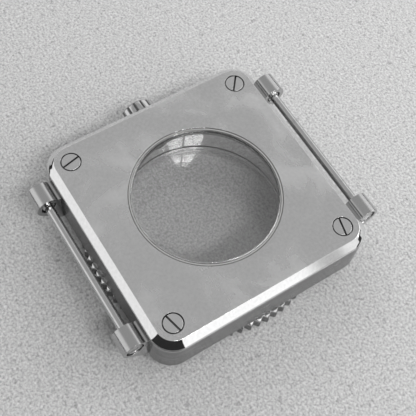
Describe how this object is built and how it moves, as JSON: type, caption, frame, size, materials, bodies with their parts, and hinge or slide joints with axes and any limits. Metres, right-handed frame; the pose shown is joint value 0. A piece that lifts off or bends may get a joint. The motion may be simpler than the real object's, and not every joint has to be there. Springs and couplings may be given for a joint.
{
  "type": "watch case",
  "caption": "Empty square steel watch case with round window, screwed bezel plate, display back, crown and two strap bars.",
  "frame": {"origin": "centre of the back face, on which the case lies", "axes": "+Z out of the front of the case, +Y towards 12 o'clock, +X towards the crown at 3 o'clock"},
  "size_m": [0.0435, 0.049, 0.0116],
  "materials": {
    "case_steel": "polished stainless steel",
    "bezel_steel": "polished stainless steel",
    "screw_steel": "polished stainless steel",
    "tube_steel": "turned stainless steel",
    "crown_steel": "polished stainless steel",
    "ring_steel": "polished stainless steel",
    "frame_steel": "polished stainless steel",
    "bar_steel": "polished stainless steel",
    "crystal_glass": "clear polished glass",
    "back_glass": "clear polished glass",
    "white_nylon": "white nylon",
    "black_rubber": "black rubber"
  },
  "bodies": {
    "case": {"case_middle": "case_steel", "bezel_plate": "bezel_steel", "bezel_gasket": "black_rubber", "bezel_screw_upper_right": "screw_steel", "bezel_screw_lower_right": "screw_steel", "bezel_screw_lower_left": "screw_steel", "bezel_screw_upper_left": "screw_steel", "crystal": "crystal_glass", "crystal_gasket": "white_nylon", "crown_tube": "tube_steel"},
    "crown_seal": {"crown_gasket": "black_rubber"},
    "crown": {"crown_cap": "crown_steel", "crown_pipe": "tube_steel", "crown_washer": "tube_steel"},
    "back_window": {"case_back_frame": "frame_steel", "case_back_gasket": "black_rubber", "case_back_glass": "back_glass", "case_back_glass_gasket": "white_nylon"},
    "back_ring": {"case_back_ring": "ring_steel"},
    "bar_12": {"strap_bar_12": "bar_steel", "bar_screw_12_left": "screw_steel", "bar_screw_12_right": "screw_steel"},
    "bar_6": {"strap_bar_6": "bar_steel", "bar_screw_6_left": "screw_steel", "bar_screw_6_right": "screw_steel"}
  },
  "joints": [
    {"name": "crown_pull", "type": "slide", "parent": "case", "child": "crown_seal", "axis": [1, 0, 0], "range_m": [0, 0.0007]},
    {"name": "crown_turn", "type": "hinge", "parent": "crown_seal", "child": "crown", "pos_m": [0.0213, 0, 0.006], "axis": [1, 0, 0], "continuous": true},
    {"name": "back_drop", "type": "slide", "parent": "case", "child": "back_window", "axis": [0, 0, -1], "range_m": [0, 0.0015]},
    {"name": "back_ring_turn", "type": "hinge", "parent": "back_window", "child": "back_ring", "pos_m": [0, 0, 0.0014], "axis": [0, 0, -1], "range_deg": [0, 1080]},
    {"name": "bar_12_turn", "type": "hinge", "parent": "case", "child": "bar_12", "pos_m": [0, 0.0224, 0.008], "axis": [1, 0, 0], "continuous": true},
    {"name": "bar_6_turn", "type": "hinge", "parent": "case", "child": "bar_6", "pos_m": [0, -0.0224, 0.008], "axis": [1, 0, 0], "continuous": true}
  ],
  "couplings": [
    {"joint": "back_drop", "follows": "back_ring_turn", "m_per_rad": 0.000079577}
  ]
}
